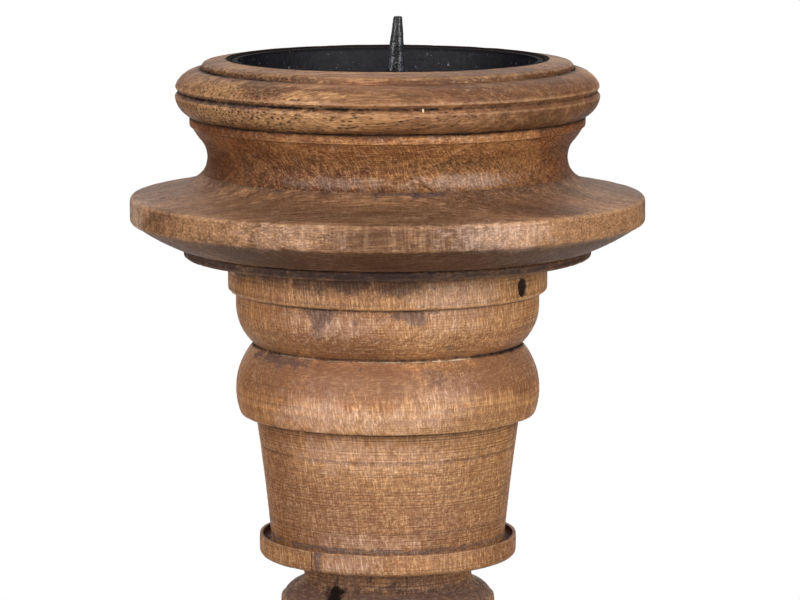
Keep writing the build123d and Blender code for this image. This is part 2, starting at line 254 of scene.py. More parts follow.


# Marks of use, some of which are also painted shade: the glue line under the plate, the dark quirks in the crease, the
# lip's recess and the shaft's foot, and the grimy shoulder and band under the collar. Each row has the marks' radius,
# how
# deep they are cut, and their places: azimuth in degrees right of the front, level, half the width round the axis and
# half the height along the outline in millimetres, and how darkly the wood is stained there, painted shade included,
# or how pale and bare it is left, if negative.
marks = {
    "cup_rim": [
        (61.4, 0.05, [(9.4, 359, 0.3, 0.75, -1)]),  # chip
        (62, 0, [(-58, 359.2, 34, 1.1, 0.95)]),  # dark groove
        (54.6, 0, [(-48, 365.6, 24, 0.8, 0.6)]),  # dark crevice
    ],
    "drip_plate": [
        (67.6, 0.05, [(-72.1, 329.9, 0.7, 0.8, 0.95)]),  # pin knot
        (54.4, 0, [(10, 335, 17, 1.3, 0.62), (-40, 335, 14, 0.8, 0.45)]),  # purple stain
        (59.6, 0, [  # glue line, darkened also as painted shade under the plate
            (-50, 312, 42, 2.4, 0.72), (0, 311.8, 34, 2.6, 0.78), (50, 311.6, 36, 2, 0.62),
            (115, 311.8, 34, 2, 0.8), (180, 311.8, 40, 2.4, 0.75), (-115, 311.8, 34, 2, 0.8),
        ]),
    ],
    "upper_column": [
        (46.9, 0.9, [(56.4, 304.7, 2.5, 2.9, 1)]),  # knot slot
        (44.6, 0.06, [(-11.9, 296.6, 1, 1.1, 0.7)]),  # pin knot
        (42.5, 0.06, [(24.8, 289, 2, 1.5, 0.5)]),  # star crack
        (38, 0.3, [(-35.6, 225.2, 0.17, 3.6, 1)]),  # crack
        (38, 0, [(-32.6, 225.2, 1.7, 5, 0.95)]),  # streak
        (37.9, 0.04, [(8, 256.4, 34, 0.11, 0.5)]),  # tool line
        (38.3, 0.04, [(-12, 259.2, 22, 0.11, 0.45)]),  # tool line
        (39.7, 0, [  # burr
            (-46, 284.9, 3.4, 0.1, -0.25), (-36, 284.8, 2.6, 0.11, -0.35), (-21, 284.9, 3, 0.1, -0.25),
            (-9, 284.8, 2.4, 0.11, -0.35), (1.5, 284.8, 3.6, 0.13, -0.45), (13, 284.8, 3.2, 0.13, -0.5),
            (21, 284.9, 2.4, 0.15, -0.65), (31, 284.9, 3.4, 0.15, -0.7), (150, 284.9, 9, 0.13, -0.6),
        ]),
        (40.6, 0, [(-50, 283.2, 16, 1.8, 0.85)]),  # dark quirk: stain and painted shade in the crease
        (39.6, 0, [  # dark quirk: stain and painted shade in the crease
            (55, 285.6, 15, 0.8, 0.8), (0, 285.9, 26, 0.5, 0.7), (180, 285.4, 40, 0.9, 0.7),
        ]),
        (46.9, 0, [  # run
            (-66, 309.4, 7, 3.2, 0.9), (-47, 309.2, 9, 2.4, 0.9), (-31, 308, 3.4, 3.4, 0.95),
            (-23.5, 308.6, 3.2, 3.6, 0.85), (-13, 308, 7, 3.3, 1), (4, 307.8, 7.6, 3.6, 1),
            (25, 310, 12, 1.7, 0.75), (48, 310.1, 12, 1.4, 0.6), (165, 309, 11, 4, 0.95),
            (-150, 309.6, 9, 2.6, 0.8),
        ]),
        (44.6, 0, [  # drip
            (-25.8, 299.6, 5.8, 2.2, 1.2), (-26, 297, 3.4, 2.8, 1), (8.5, 299.6, 6, 1.8, 1.05),
            (11, 297.4, 3.4, 2, 0.8), (158, 298.4, 5, 3, 0.9),
        ]),
        (43.8, 0, [(-26.6, 293.4, 1.3, 3.2, 0.5)]),  # drip
        (42, 0, [(18.8, 281, 4.6, 3.6, 0.55)]),  # bruise
        (37.4, 0, [  # lip edge
            (-60, 228.5, 34, 0.9, 0.7), (60, 228.5, 34, 0.9, 0.7), (180, 228.5, 50, 0.8, 0.6),
        ]),
        (36, 0, [(azimuth, 226.7, 64, 2.4, 1) for azimuth in (0, 120, -120)]),  # lip dirt and painted shade in the recess behind the lip
        (34.6, 0, [(azimuth, 228.5, 56, 0.75, 1.1) for azimuth in (0, 120, -120)]),  # foot dirt and painted shade where the shaft meets the lip
    ],
    "lower_column": [
        (27.5, 0, [(-35.5, 213.4, 2.8, 4.2, 1.1)]),  # streak
        (30.5, 0, [(-32.6, 210.2, 2.8, 3.6, 1.1)]),  # streak
        (25, 0, [(-36.4, 217, 0.9, 3, 0.75)]),  # streak
        (28.6, 0, [(0, 211.8, 64, 6.5, 0.95), (180, 211.8, 64, 6.5, 0.84)]),  # grimy shoulder: grime and painted shade under the collar
        (31.7, 0, [(0, 206.4, 80, 3, 0.74)]),  # grimy band: grime and painted shade on the low bead under the collar
    ],
}

# Broad figure of the wood and of its surface, by piece and by the coat that it goes into. "tone" is dark heartwood
# below 0 and pale sapwood above it, and in places painted shade on sides and undersides turned from the lamps and
# painted light on lit fronts, "crevice" the dirt and painted shade in hollows, "open" the pores that lie open, "wavy"
# the ripple marks of the tool, "rough" the flecks between the fibres, "turned" the lathe lines and "frost" painted
# sheen highlights: pale patches with torn-fibre stripes and glints in them. A place is azimuth, radius, level, half
# the width, half the height, and how much of the coat it adds.
figure = {
    # Tone here is figure and also painted shade: the rim wall is darkened towards its sides, at about -60 and +66
    # degrees.
    ("cup_rim", "tone"): [
        (-33.6, 59.4, 363.4, 5.6, 1.9, -2.1), (52, 60.5, 359, 24, 12, -0.55), (-24, 60.5, 355.5, 19, 2.6, 1.35),
        (-50, 61.2, 357, 8, 2, 0.9), (-22, 54.3, 366.5, 8, 1.4, -0.9), (6, 54.3, 366.5, 10, 1.4, -0.35),
        (-60, 54.3, 366.2, 22, 1.8, -1.7), (66, 54.3, 366.2, 24, 1.6, -1), (-50, 60, 362.6, 7, 2.6, 1.6),
        (-20, 60.8, 362.8, 7, 1.5, 1.9), (-66, 60, 356, 16, 5, -0.1), (18, 60, 362, 18, 4, 0.05),
        (66, 60, 356, 20, 4, -0.15), (4, 60, 363, 14, 2, -0.35),
    ],
    ("cup_rim", "crevice_dirt_and_shade"): [(8, 54.6, 365.6, 48, 1.2, -0.9), (46, 62, 359.2, 40, 1.2, -0.35)],
    ("cup_rim", "open"): [
        (-48, 60.5, 362, 26, 9, 1.2), (-28, 60.5, 356, 26, 4, 1.1), (-60, 54.3, 366.8, 20, 2, 0.9),
        (20, 61, 357, 20, 3, 0.3),
    ],
    ("cup_rim", "rough"): [(-40, 60.5, 359, 30, 12, 0.8), (50, 60.5, 359, 34, 12, -0.4)],
    ("cup_neck", "tone"): [
        (-62, 53, 343, 28, 12, -0.6), (26, 52.5, 340.5, 22, 9, 1.5), (-8, 52.2, 337.3, 24, 1.8, 0.2),
        (-37, 52.5, 340, 10, 7, 0.95), (32, 54, 344, 14, 5, 0.6), (24, 57.9, 350.6, 16, 1.4, 0.85),
        (-55, 57.9, 350.6, 20, 2, -0.5), (44, 54, 344, 11, 5, 0.5), (72, 53, 343, 18, 12, -0.45),
        (-2, 57.9, 350.6, 12, 1.4, -0.4),
    ],
    ("cup_neck", "painted_sheen"): [
        (14, 57.9, 350.6, 14, 1.4, 0.25), (-16, 52.2, 337.2, 15, 1.6, 0.55), (26, 52.2, 337.5, 13, 2, 0.8),
    ],
    ("cup_neck", "wavy"): [(4, 52.5, 340.5, 34, 8, 1.3), (-30, 52.5, 339, 14, 5, 0.6)],
    ("cup_neck", "rough"): [(0, 52.5, 340.5, 46, 7, 0.9), (-64, 52.5, 341, 18, 9, -0.6)],
    # Tone here is figure and also painted light and shade: pale patches on the edge either side of the front stand in
    # for highlights, and the bevel underside and the cushion are darkened as shade.
    ("drip_plate", "tone"): [
        (-24, 75.4, 324.6, 16, 4, 0.5), (-2, 75.4, 324.6, 9, 4, -0.45), (42, 75.4, 324.6, 18, 4.5, 3),
        (34, 59, 332.2, 9, 3.5, 0.45), (2, 64, 330.8, 34, 8, -0.62), (74, 68, 330, 18, 8, 0.5),
        (-54, 68, 330, 16, 7, 0.45), (-10, 69, 317.6, 60, 6, -1.15), (55, 69, 317.6, 30, 6, -0.5),
        (60, 75.4, 324.6, 16, 4, 0.95), (0, 59.6, 312.6, 120, 1.6, -1.2), (-42, 75.4, 324.6, 12, 5, 0.95),
        (-72, 75.4, 324.6, 9, 5, 0.7), (-58, 62, 331.5, 14, 5, -0.1),
    ],
    ("drip_plate", "crevice_dirt_and_shade"): [(0, 59.6, 311.9, 150, 1.5, 0.6), (0, 60, 313.7, 150, 0.8, -0.5)],
    ("drip_plate", "painted_sheen"): [
        (-22, 75.4, 324.6, 13, 5, 0.4), (-75, 75.4, 324.6, 8, 6, 0.8), (25, 75.4, 324.6, 14, 5, 0.75),
        (160, 75.4, 324.6, 20, 5, 0.5),
    ],
    ("drip_plate", "wavy"): [(10, 75.4, 324.6, 28, 5, 0.8), (165, 75.4, 324.6, 40, 5, 0.7)],
    ("drip_plate", "open"): [(-62, 75.4, 324.6, 22, 5, 1), (62, 75.4, 324.6, 24, 5, 1)],
    ("drip_plate", "rough"): [(-26, 75.4, 324.6, 18, 5, 0.8), (0, 66, 330.5, 80, 7, 0.7)],
    ("upper_column", "crevice_dirt_and_shade"): [
        (0, 35.6, 226.7, 70, 2.8, -0.9), (180, 35.6, 226.7, 70, 2.8, -0.9), (-22, 39.6, 285.4, 34, 1.6, -0.55),
        (50, 39.6, 285.4, 22, 1.6, -0.35), (0, 44.7, 300.4, 120, 1.5, -0.6), (0, 39.6, 263.4, 120, 3, -0.65),
    ],
    ("upper_column", "turned"): [
        (0, 38, 255, 70, 9, 0.7), (0, 43.2, 279, 70, 7, -0.5), (0, 46.9, 304.6, 70, 6, -0.3),
        (0, 36, 239, 70, 12, 0.6),
    ],
    ("upper_column", "rough"): [
        (0, 38.2, 256, 60, 6, -0.3), (0, 43.2, 279, 60, 7, -0.35), (0, 36, 238, 50, 12, 0.8),
        (0, 46.9, 304.6, 60, 5, 1.1), (0, 38, 225.2, 60, 4, 0.9), (0, 43.6, 293, 60, 7, 0.6),
    ],
    # Tone here is figure and also painted light and shade: the ring's lower front and pale patches on the fronts stand
    # in for light, and darker patches towards the sides for shade.
    ("upper_column", "tone"): [
        (-6, 46.9, 302.4, 18, 2.6, 0.8), (-62, 44, 294, 18, 10, 0.1), (38, 44.4, 296, 17, 8, 1.3),
        (36, 46.9, 304.6, 24, 4, 1.9), (-62, 37, 246, 15, 22, -0.3), (0, 35.6, 238.5, 44, 8, -0.5),
        (2, 45, 268.5, 32, 5, 0.9), (66, 38, 225.2, 16, 4, -0.6), (-8, 38.2, 256, 26, 6, 0.95),
        (38, 38, 252, 19, 12, 2.1), (-32, 44.6, 293, 8, 5, -0.4), (-38, 36.4, 242, 12, 9, 0.5),
        (6, 43, 290, 26, 3, -0.55), (-55, 43.4, 278, 24, 7, -0.3), (8, 42.6, 280, 34, 5, -1.05),
        (-60, 45, 269, 12, 5, 0.9), (64, 43.4, 278, 18, 8, -0.6), (-8, 43, 279, 8, 4, 0.45),
        (-64, 46.9, 305, 18, 5, 0.2), (66, 44, 296, 14, 8, 0.5), (-48, 38, 225.2, 14, 4, 0.3),
        (2, 38, 225.2, 16, 4, -0.75), (26, 38, 225.2, 9, 4, 1.1), (-44, 37.6, 252, 3.5, 14, 0.45),
        (-32, 37, 250, 1.8, 14, -0.2), (-24, 38, 256, 7, 7, 0.35), (42, 44.8, 269, 20, 5, 1.5),
    ],
    ("upper_column", "painted_sheen"): [
        (-12, 38.2, 257, 24, 5, 0.5), (-28, 45, 269, 12, 5, 0.7), (4, 45.2, 268, 14, 4, 0.6),
        (22, 44.6, 273, 8, 4, 0.4), (-20, 44.6, 296, 14, 3.4, 0.5), (24, 44.6, 297, 12, 4, 0.4),
        (24, 46.9, 304.5, 14, 3.6, 0.6), (-10, 35.2, 231, 16, 2.4, 0.5), (-18, 38, 225.4, 8, 3, 0.5),
        (175, 45, 270, 22, 6, 0.5),
    ],
    ("upper_column", "wavy"): [
        (0, 36, 238, 60, 13, 0.7), (0, 38, 256, 60, 6, 0.4), (0, 43.2, 281, 60, 5, 0.3), (0, 43, 291, 40, 4, 0.7),
    ],
    ("lower_column", "crevice_dirt_and_shade"): [
        (-35.5, 27.5, 213.4, 2.8, 3, 0.95), (-32, 30.5, 210.2, 2.8, 3, 0.7), (-36.4, 25, 217, 1.1, 3, 0.6),
        (-33.8, 28.8, 212, 2.6, 2.6, 0.85), (0, 26, 215, 60, 7, -0.45), (180, 26, 215, 60, 7, -0.3),
    ],
    # Tone here is mostly painted shade: the low bead and shoulder under the collar are darkened all round, and further
    # at the front and sides.
    ("lower_column", "tone"): [
        (0, 31.7, 206.8, 90, 3.4, -1), (-48, 31.7, 206.8, 9, 3.4, -0.9), (50, 31.7, 206.8, 14, 3.4, -1.1),
        (0, 28, 213, 52, 7, -1.3), (60, 30.5, 210, 16, 7, -0.5), (-60, 30.5, 210, 16, 7, -0.3),
    ],
    ("lower_column", "painted_sheen"): [(6, 28.5, 212.4, 6, 1.2, 0.6)],
    ("lower_column", "rough"): [(0, 28, 213.4, 60, 8, 1.4)],
    ("lower_column", "wavy"): [(0, 28, 213.4, 60, 8, 1)],
}


def carried(r, z, angles):
    """Points of an outline carried round Z: (r cos a, r sin a, z) at each angle a."""
    return np.stack([r * np.cos(angles), r * np.sin(angles), z + 0 * r * angles], axis=-1)


def crowded_angles(spots):
    """Angles round the axis, evenly spaced but up to five times closer together within some degrees of each spot."""
    crowding, crowd_reach, extra_columns = 4, math.radians(2.2), 30
    fine = np.linspace(0, full_circle, 7200, endpoint=False)
    crowd = np.ones_like(fine)
    for spot in spots:
        crowd += crowding * np.exp(-0.5 * (off_bearing(fine, spot) / crowd_reach) ** 2)
    run = np.concatenate([[0], np.cumsum(crowd)])
    at = np.linspace(0, run[-1], columns_round + extra_columns * len(spots), endpoint=False)
    return np.interp(at, run, np.append(fine, full_circle))


def off_bearing(angles, middle):
    """How far each angle is from the middle, between minus and plus half a circle."""
    return (angles - middle + math.pi) % full_circle - math.pi


def bearing(azimuth):
    """Angle about Z of an azimuth in degrees right of the front, which is -Y."""
    return math.radians(azimuth - 90)


def spread_of(place, line, s, angles, ragged):
    """How far each point is from the middle of a mark: the root of the sum of the squares of its distance round the
    axis over the half width and along the outline over the half height, made longer and shorter by a ragged height."""
    azimuth, radius, level, half_width, half_height = place
    middle = s[np.argmin(np.hypot(line[:, 0] - radius, line[:, 1] - level))]
    across = off_bearing(angles, bearing(azimuth))[None, :] * radius / half_width
    along = (s[:, None] - middle) / half_height
    return np.sqrt(across**2 + along**2) * (1 + ragged)


def turn_stand():
    """The wooden pieces, cut from one worn outline.

    The outline is blurred over a quarter of a millimetre, which rounds every corner as wear does. Its distance
    from wider blurs of itself is positive in crevices and negative on arrises. A point at angle a and place s
    is (r cos a, r sin a, z), moved inwards along its normal by the wood's shrinkage, tool ridges, dents and marks.
    """
    wear, arris_reach, crevice_reach, hollow_reach = 0.28, 0.8, 1.3, 5
    full_arris, full_crevice, full_hollow, hollow_dirt_and_shade = 0.26, 0.42, 2, 0.3
    runs = [run for outline in stand_outline.values() for run in outline]
    raw, corners = trace(stand_start, runs)
    worn = blur(raw, wear)
    length = np.concatenate([[0], np.cumsum(np.linalg.norm(np.diff(raw, axis=0), axis=1))])
    normals = outward(worn)
    near, mid, wide = (
        ((blur(raw, reach) - worn) * normals).sum(axis=1) for reach in (arris_reach, crevice_reach, hollow_reach)
    )
    # Crevice values are dirt and painted shade together: darker in creases, quirks and broad coves, where shade falls.
    crevice_dirt_and_shade = np.clip(mid / full_crevice, 0, 1) + hollow_dirt_and_shade * np.clip(wide / full_hollow, 0, 1)
    arris = np.clip(-near / full_arris, 0, 1)
    first = 0
    pieces = {}
    for number, (name, outline) in enumerate(stand_outline.items()):
        last = first + len(outline)
        part = slice(corners[first], corners[last] + 1)
        first = last
        keep = thinned(worn[part], rows_of[name])
        places = np.arange(len(worn[part]))
        line, side = (
            np.stack([np.interp(keep, places, values[part][:, k]) for k in range(2)], axis=1)
            for values in (worn, normals)
        )
        side /= np.linalg.norm(side, axis=1)[:, None]
        s, dark, light = (np.interp(keep, places, values[part]) for values in (length, crevice_dirt_and_shade, arris))
        pieces[name] = turn_piece(name, number, line, side, s, dark, light)
    return pieces


# A mark needs a closer mesh if it is deeper than shallow and narrower than narrow. Over the next depths it holds dirt
# and painted shade and has a clean edge. From the first of these radii inwards the rim's wood is painted dark as shade
# in the gap over the dish's lip, fully so at the second.
shallow, narrow, dirt_and_shade_depth, deep_cut, dish_edge = 0.02, 3, 0.08, 0.2, (47.4, 46.8)


def turn_piece(name, number, line, side, s, dark, light):
    """One piece: its stretch of the worn outline, closed by its hidden corners and carried round Z."""
    shrinkage, unevenness, tool_ridge, blunting, knocks, seam_sink = 0.07, 0.02, 0.012, 0.05, 0.24, 0.05
    own = [
        ((azimuth, radius, level, wide, high), depth, tone)
        for radius, depth, places in marks.get(name, [])
        for azimuth, level, wide, high, tone in places
    ]
    angles = crowded_angles([bearing(place[0]) for place, depth, _ in own if depth > shallow and place[3] < narrow])
    points = carried(line[:, :1], line[:, 1:], angles)
    full = np.ones(points.shape[:2])
    edge = light[:, None] * full
    # Painted shade: towards the dish's edge the rim's wood is darkened near black through the crevice and stain coats.
    painted_bore_shade = ease(line[:, :1], *dish_edge) * full if name == "cup_rim" else 0 * full
    seam = np.minimum(ease(np.arange(len(line)), 0, 2), ease(np.arange(len(line)), len(line) - 1, len(line) - 3))
    sink = shrinkage * (1 + 0.45 * wander(points, 90, 11)) + unevenness * (1 + 0.6 * wander(points, 8, 12))
    sink += tool_ridge * (1 + wander(s[:, None], 2.2, 13))[:, None]
    sink += edge * (blunting + knocks * ease(wander(points, 6, 14), 0.5, 2.2))
    ragged = 0.17 * wander(points, 1.5, 15) + 0.15 * wander(points, 4.5, 16)
    grain = (0.35, 1, 1) if not name.endswith("column") else (1, 1, 0.35)
    coats = {
        "crevice_dirt_and_shade": dark[:, None] * full + 2 * painted_bore_shade, "arris": edge, "reach": s[:, None] * full,
        "stain_and_shade": 1.3 * painted_bore_shade, "bare": 0 * full,
        "tone": 0.26 * wander(points * grain, 26, 17 + number), "painted_sheen": 0 * full,
        "open": 0.3 + 0.6 * ease(wander(points, 45, 31 + number), 0.2, 1.4) * ease(points[..., 1], 0, 30),
        "wavy": 0.25 + 0.6 * ease(wander(points, 38, 47 + number), 0, 1.2) * ease(points[..., 1], 0, 30),
        "rough": 0.75 + 0.2 * wander(points, 24, 59 + number),
        "turned": 0.75 + 0.2 * wander(points, 30, 71 + number),
    }
    for place, depth, tone in own:
        far = spread_of(place, line, s, angles, ragged * (0.25 if depth > deep_cut else 1))
        spot = ease(far, 1.1, 0.85) if depth > deep_cut else ease(far, 1.35, 0.45)
        sink += depth * spot
        coats["stain_and_shade"] = np.maximum(coats["stain_and_shade"], tone * spot)
        coats["bare"] = np.maximum(coats["bare"], -tone * ease(far, 1.4, 0.3))
        # Deep stained marks, such as the knot slot and the crack, are darkened inside with dirt and painted shade.
        if depth > dirt_and_shade_depth and tone > 0.5:
            coats["crevice_dirt_and_shade"] = np.maximum(coats["crevice_dirt_and_shade"], 1.2 * spot)
    for coat in coats:
        for *place, amount in figure.get((name, coat), []):
            coats[coat] += amount * np.exp(-0.6 * spread_of(place, line, s, angles, 0.6 * ragged) ** 3)
    # Sixteen dents of its own in each piece
    draw = np.random.default_rng(100 + number)
    for _ in range(16):
        centre = points[draw.integers(3, len(line) - 3), draw.integers(len(angles))]
        far = np.linalg.norm(points - centre, axis=-1)
        size = draw.uniform(0.7, 2.4)
        sink += draw.uniform(0.03, 0.13) * np.exp(-0.5 * (far / size) ** 2)
    sink = np.clip(sink, 0, None) * seam[:, None] + seam_sink * (1 - seam[:, None])
    points = points - carried(side[:, :1], side[:, 1:], angles) * sink[..., None]
    before, after = hidden_corners[name]
    looped = before[0][0] > 0
    rings = [carried(radius, level, angles) for radius, level in before + after if radius > 0]
    lead = sum(radius > 0 for radius, _ in before)
    sheet = np.stack([*rings[:lead], *points, *rings[lead:]])
    flat = sheet.reshape(-1, 3)
    if not looped:
        flat = np.vstack([flat, [[0, 0, before[0][1]], [0, 0, after[-1][1]]]])
    for coat, values in coats.items():
        whole = np.pad(values, ((lead, len(rings) - lead), (0, 0)), "edge").ravel()
        coats[coat] = np.append(whole, np.zeros(len(flat) - len(whole)))
    return build("wood_" + name, flat, skin(*sheet.shape[:2], looped), coats)


def forge_spike():
    """The spike: rows of a superellipse, |x|^p + |y|^p = w^p, whose middle and half width w follow the forged bar
    up from the dish and whose power p falls from 4, square, at its root to 2.2, nearly round, at the blunt tip. The
    tenon and its peened end under the dish are round. Hammer blows flatten the bar inwards."""
    middle, tip_middle, tip_half, tip_power, bar_top, widest = 2.75, 2.97, 1.35, 2.2, 26.5, 3.15
    stem = [
        (level, half, power, middle)
        for level, half, power in (
            (peen_level, 2.5, 2), (peen_level + 0.7, 3.2, 2), (peen_level + 1.1, 3.6, 2), (peen_level + 1.5, 4, 2),
            (peen_level + 1.5, 2.5, 2), (seat_level, 2.5, 2), (seat_level, 3.1, 4), (dish_floor_level, 3.1, 4),
        )
    ]
    # Level over the dish's floor, half width and middle: the bar is drawn out a little to the left, then right
    forged = np.array([(0, 3.1, 2.75), (6, 2.75, 2.45), (12.4, 2.42, 2.3), (16.1, 2.16, 2.52), (19.3, 2.08, 2.62),
                       (22.3, 1.8, 2.78), (25, 1.52, 2.9), (bar_top, 1.36, 2.96)])
    climb = np.linspace(0.05, bar_top, 110)
    half, centre = (np.interp(climb, forged[:, 0], forged[:, k]) for k in (1, 2))
    bar = np.stack([dish_floor_level + climb, half, 4 - 1.8 * (climb / bar_top) ** 0.4, centre], axis=1)
    bar_level = dish_floor_level + bar_top
    tip = [
        (bar_level + (spike_tip_level - bar_level) * math.sin(a), tip_half * (0.72 + 0.28 * math.cos(a)), tip_power,
         tip_middle)
        for a in np.linspace(0.15, math.pi / 2, 7)
    ]
    rows = np.array([*stem, *bar, *tip])
    level, half, power, centre = (rows[:, k : k + 1] for k in range(4))
    angles = np.linspace(0, full_circle, 144, endpoint=False)
    c, s = np.abs(np.cos(angles)), np.abs(np.sin(angles))
    reach = half * (c**power + s**power) ** (-1 / power)
    edge = ease(reach / half, 1.04, 1.15)
    points = carried(reach, level, angles)
    blows = 0.08 * ease(wander(points, 4.5, 31), -0.2, 1.4) + 0.035 * (1 + 0.6 * wander(points, 1.2, 32))
    blows *= ease(level, dish_floor_level, dish_floor_level + 1) * half / widest
    points[..., :2] *= (1 - blows / reach)[..., None]
    points[..., 0] += centre
    flat = np.vstack([points.reshape(-1, 3), [[middle, 0, peen_level], [tip_middle, 0, spike_tip_level]]])
    coats = {"arris": np.append(edge.ravel(), [0, 0.4])}
    return build("iron_spike", flat, skin(len(rows), len(angles), False), coats)


def press_felt():
    """The felt disc: a flat round with soft, slightly uneven edges, r and z carried round Z."""
    inner, felt_thick = 40, 2
    outline = [(71.2, 0), (71.8, 0.6, quarter), (71.8, 1.4), (71.2, felt_thick, quarter), (inner, felt_thick)]
    line, _ = trace((inner, 0), outline)
    r, z = line[::6, :1], line[::6, 1:]
    angles = np.linspace(0, full_circle, 360, endpoint=False)
    uneven = 0.25 * (1 + 0.5 * wander(carried(71, 0, angles)[:, :2], 9, 41)) * ease(r, 69, 71.5)
    flat = np.vstack([carried(r - uneven, z, angles).reshape(-1, 3), [[0, 0, 0], [0, 0, felt_thick]]])
    return build("felt_under_foot", flat, skin(len(r), len(angles), False), {})


def linear(colour):
    """Linear RGBA of an sRGB hex colour."""
    parts = [int(colour[k : k + 2], 16) / 255 for k in (1, 3, 5)]
    return (*(p / 12.92 if p <= 0.04045 else ((p + 0.055) / 1.055) ** 2.4 for p in parts), 1)


def add(tree, kind, sockets=None, **settings):
    """Adds a node of a kind, which may end in a dot and an operation. A socket takes a value, a node's first output
    in use, or an output."""
    kind, dot, operation = kind.partition(".")
    made = tree.nodes.new("ShaderNode" + kind)
    if dot:
        made.operation = operation
    for setting, value in settings.items():
        setattr(made, setting, value)
    for key, value in (sockets or {}).items():
        named = (socket for socket in made.inputs if socket.name == key and socket.enabled)
        socket = made.inputs[key] if isinstance(key, int) else next(named)
        if isinstance(value, bpy.types.Node):
            value = next(s for s in value.outputs if s.enabled)
        if isinstance(value, bpy.types.NodeSocket):
            tree.links.new(value, socket)
        else:
            socket.default_value = value
    return made


def new_material(name):
    """A material, its node tree and the place in the object that its solid patterns start from."""
    material = bpy.data.materials.new(name)
    material.use_nodes = True
    tree = material.node_tree
    tree.nodes.clear()
    return material, tree, add(tree, "TexCoord").outputs["Object"]


def grained(grain, along, across):
    """Scales from metres to pattern units of these millimetres along the grain and across it."""
    return tuple(1000 / (along if axis == grain else across) for axis in "XYZ")


def scatter(tree, cover, rows):
    """Adds solid noises to the cover. A row has a title, where the noise lies, its scale, detail and bend, and the
    values that become 0 and 1. Gives the noises as they are."""
    noises = {}
    for title, where, scale, detail, bend, low, high in rows:
        at = add(tree, "VectorMath.MULTIPLY", {0: where, 1: scale})
        look = {"Vector": at, "Scale": 1, "Detail": detail, "Roughness": 0.6, "Distortion": bend}
        noises[title] = add(tree, "TexNoise", look)
        cover[title] = add(tree, "MapRange", {"Value": noises[title], "From Min": low, "From Max": high})
    return noises


def lay_over(tree, cover, body, layers):
    """Mixes each layer's colour over the body, as strongly as its cover times its strength."""
    for title, strength, colour in layers:
        amount = add(tree, "Math.MULTIPLY", {0: cover[title], 1: strength}, use_clamp=True)
        body = add(tree, "Mix", {"Factor": amount, "A": body, "B": linear(colour)}, data_type="RGBA")
    return body


def emboss(tree, cover, gloss, layers):
    """Relief, from each layer's rise in millimetres, and roughness, from what it adds to the gloss value."""
    height = 0
    for title, rise, duller in layers:
        height = add(tree, "Math.MULTIPLY_ADD", {0: cover[title], 1: rise, 2: height})
        gloss = add(tree, "Math.MULTIPLY_ADD", {0: cover[title], 1: duller, 2: gloss})
    return add(tree, "Bump", {"Height": height, "Distance": MM, "Strength": 1}), gloss


def at_a_glance(tree):
    """How far an upright face is turned from the eye: thin wax and rough paint have no gloss left there."""
    up = add(tree, "SeparateXYZ", {0: add(tree, "TexCoord").outputs["Normal"]}).outputs["Z"]
    level = add(tree, "Math.MULTIPLY", {0: up, 1: up})
    upright = add(tree, "Math.MULTIPLY_ADD", {0: level, 1: -1, 2: 1})
    turned = add(tree, "LayerWeight", {"Blend": 0.5}).outputs["Facing"]
    glance = add(tree, "MapRange", {"Value": turned, "From Min": 0.12, "From Max": 0.55})
    return add(tree, "Math.MULTIPLY", {0: glance, 1: upright})


coat_names = ("crevice_dirt_and_shade", "arris", "stain_and_shade", "bare", "reach", "tone", "open", "wavy", "rough", "turned", "painted_sheen")


